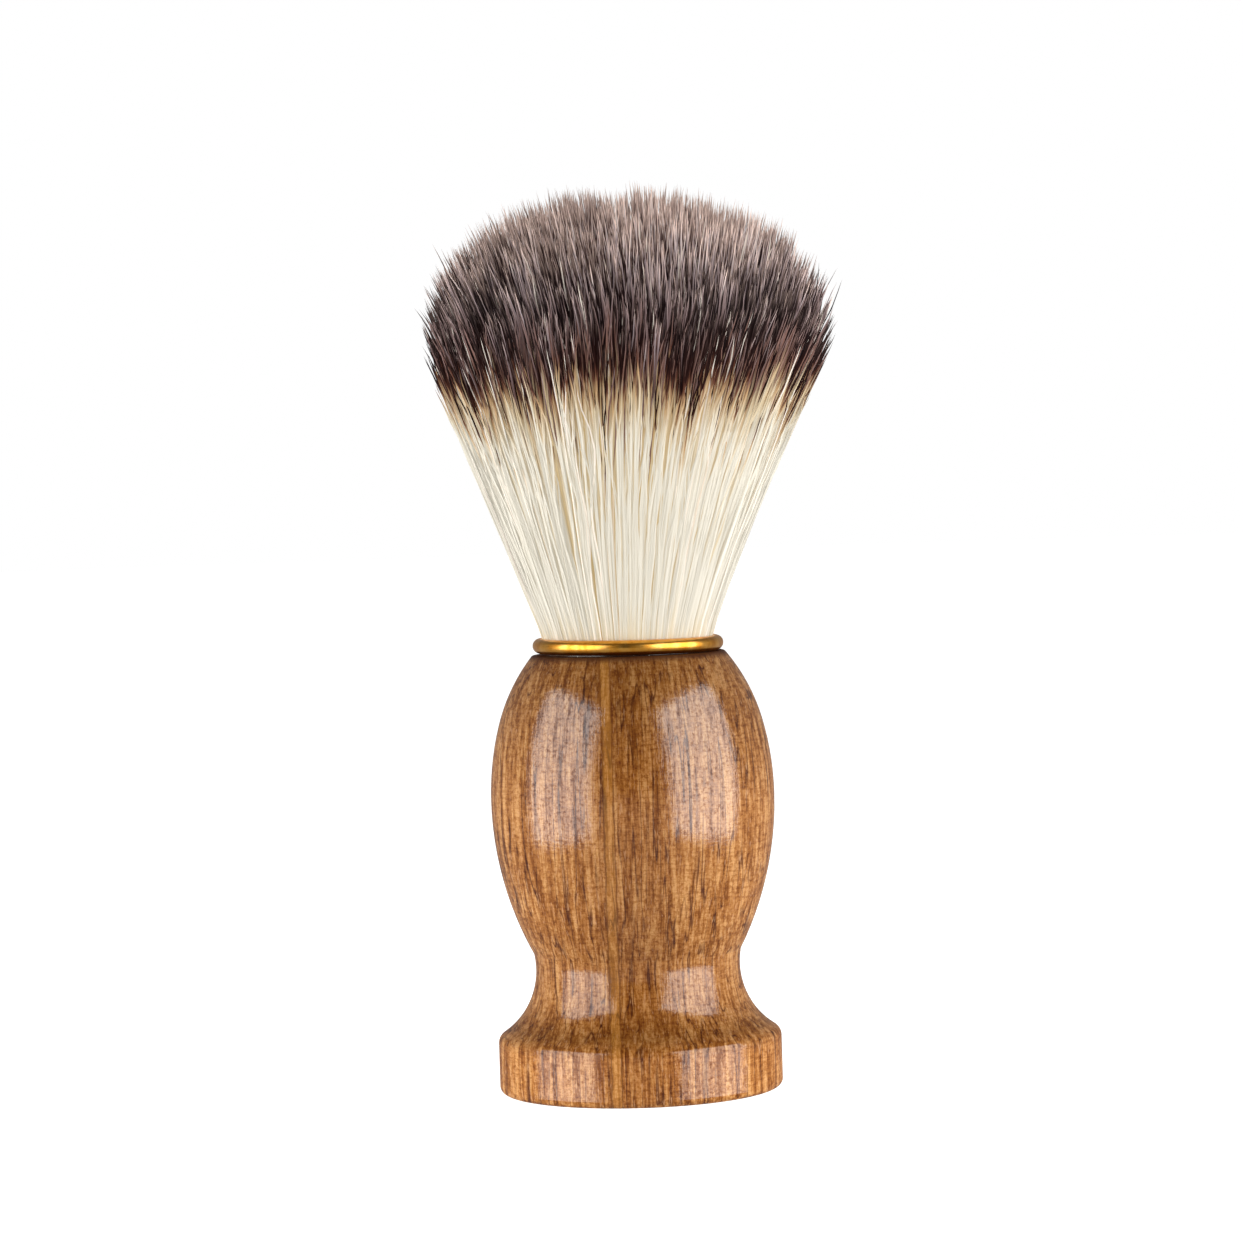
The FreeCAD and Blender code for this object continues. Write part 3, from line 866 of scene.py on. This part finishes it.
FLOOR_RADIUS = 3.0
FLOOR_CORNERS = 96
FLOOR_GLOW = 1.0
LIGHT_DISTANCE = 0.7
LIGHT_TARGET = (0, 0, 0.05)
LIGHT_ELEVATION = 12  # degrees above level
BACK_LIGHT = 0.75  # the studio's white backdrop behind the brush
FRONT_LIGHT = 0.06  # its dark front
TABLE_LIGHT = 0.9  # what comes up from the white table
CEILING_SHARE = 0.42  # how bright the ceiling is next to the walls
MIRRORED_ROOM = 0.45  # how bright the room's reflections are next to the room
CAMERA_DISTANCE = 0.480  # from the brush's axis
CAMERA_HEIGHT = 0.0719
CAMERA_AIM = (-0.00066, 0, 0.0540)
CAMERA_LENS = 120.75
CAMERA_ROLL = math.radians(1.8)  # makes the brush lean to the left


def make_floor():
    """A large pale disc."""
    mesh = bpy.data.meshes.new("floor")
    angles = [2 * math.pi * i / FLOOR_CORNERS for i in range(FLOOR_CORNERS)]
    rim = [(FLOOR_RADIUS * math.cos(a), FLOOR_RADIUS * math.sin(a), 0) for a in angles]
    mesh.from_pydata(rim, [], [range(FLOOR_CORNERS)])
    n = Material("pale_floor")
    cloud = n.noise(n.vector(*n.position()), scale=0.02)
    n.set(Base_Color=n.ramp(cloud, (0.3, (176, 176, 176)), (0.7, (180, 180, 180))), Roughness=0.9)
    n.set(Emission_Color=grey(1.0), Emission_Strength=FLOOR_GLOW)
    mesh.materials.append(n.material)
    floor = bpy.data.objects.new("floor", mesh)
    floor.visible_glossy = False
    floor.visible_diffuse = False
    bpy.context.scene.collection.objects.link(floor)


def softbox(name, azimuth, width, height, watts, mirrored=True):
    """A rectangular light that faces the brush.

    Azimuth 0 is the camera's side and positive ones are to the right. A light that isn't mirrored
    lights the brush without showing in its lacquer and its ring.
    """
    data = bpy.data.lights.new(name, "AREA")
    data.shape = "RECTANGLE"
    data.size = width
    data.size_y = height
    data.energy = watts
    light = bpy.data.objects.new(name, data)
    a, e = math.radians(azimuth), math.radians(LIGHT_ELEVATION)
    towards = Vector((math.sin(a) * math.cos(e), -math.cos(a) * math.cos(e), math.sin(e)))
    light.location = Vector(LIGHT_TARGET) + towards * LIGHT_DISTANCE
    light.rotation_euler = towards.to_track_quat("Z", "Y").to_euler()
    light.visible_camera = False
    light.visible_glossy = mirrored
    bpy.context.scene.collection.objects.link(light)


def make_lights():
    """Two softboxes in front, left and right, and two behind that light the brush's edges."""
    softbox("softbox_left", azimuth=-63, width=0.78, height=0.76, watts=7.3)
    softbox("softbox_right", azimuth=62, width=0.86, height=0.76, watts=8.9)
    rim = {"width": 0.50, "height": 0.90, "mirrored": False}
    softbox("rim_light_left", azimuth=-110, watts=1.0, **rim)
    softbox("rim_light_right", azimuth=110, watts=1.1, **rim)


def make_room():
    """A white studio: bright behind the brush and below it, dark in front and dimmer above."""
    world = bpy.data.worlds.new("white_studio")
    world.use_nodes = True
    n = Nodes(world.node_tree)
    direction = n.split(n.add("ShaderNodeTexCoord").outputs["Generated"])
    walls = n.steps(direction["Y"], (0.0, FRONT_LIGHT), (0.5, BACK_LIGHT))
    ceiling = n.steps(direction["Z"], (0.15, 1.0), (0.6, CEILING_SHARE))
    studio = n.mix(1.0, walls, ceiling, blend="MULTIPLY")
    below = n.math("LESS_THAN", direction["Z"], 0.0)
    room = n.mix(below, studio, grey(TABLE_LIGHT))
    rays = n.add("ShaderNodeLightPath").outputs
    dimmed = n.mix(rays["Is Glossy Ray"], room, grey(MIRRORED_ROOM), blend="MULTIPLY")
    seen = n.mix(rays["Is Camera Ray"], dimmed, grey(1.0))
    n.link(seen, n.tree.nodes["Background"].inputs["Color"])
    bpy.context.scene.world = world
    bpy.context.scene.view_settings.view_transform = "Standard"


def make_camera():
    """A front view from a little above the brush's middle, turned about the line of sight."""
    data = bpy.data.cameras.new("camera")
    data.lens = CAMERA_LENS
    data.clip_start = 0.01
    data.clip_end = 20
    camera = bpy.data.objects.new("camera", data)
    place = Vector((0, -CAMERA_DISTANCE, CAMERA_HEIGHT))
    back = (place - Vector(CAMERA_AIM)).normalized()
    level = Vector((0, 0, 1)).cross(back).normalized()
    upright = back.cross(level)
    right = level * math.cos(CAMERA_ROLL) - upright * math.sin(CAMERA_ROLL)
    up = level * math.sin(CAMERA_ROLL) + upright * math.cos(CAMERA_ROLL)
    turned = Matrix((right, up, back)).transposed().to_4x4()
    camera.matrix_world = Matrix.Translation(place) @ turned
    bpy.context.scene.collection.objects.link(camera)
    bpy.context.scene.camera = camera


# ---------------------------------------------------------------- the scene

paint_cad_nodes()
make_knot(fibre_material())
make_floor()
make_lights()
make_room()
make_camera()

bpy.context.view_layer.update()
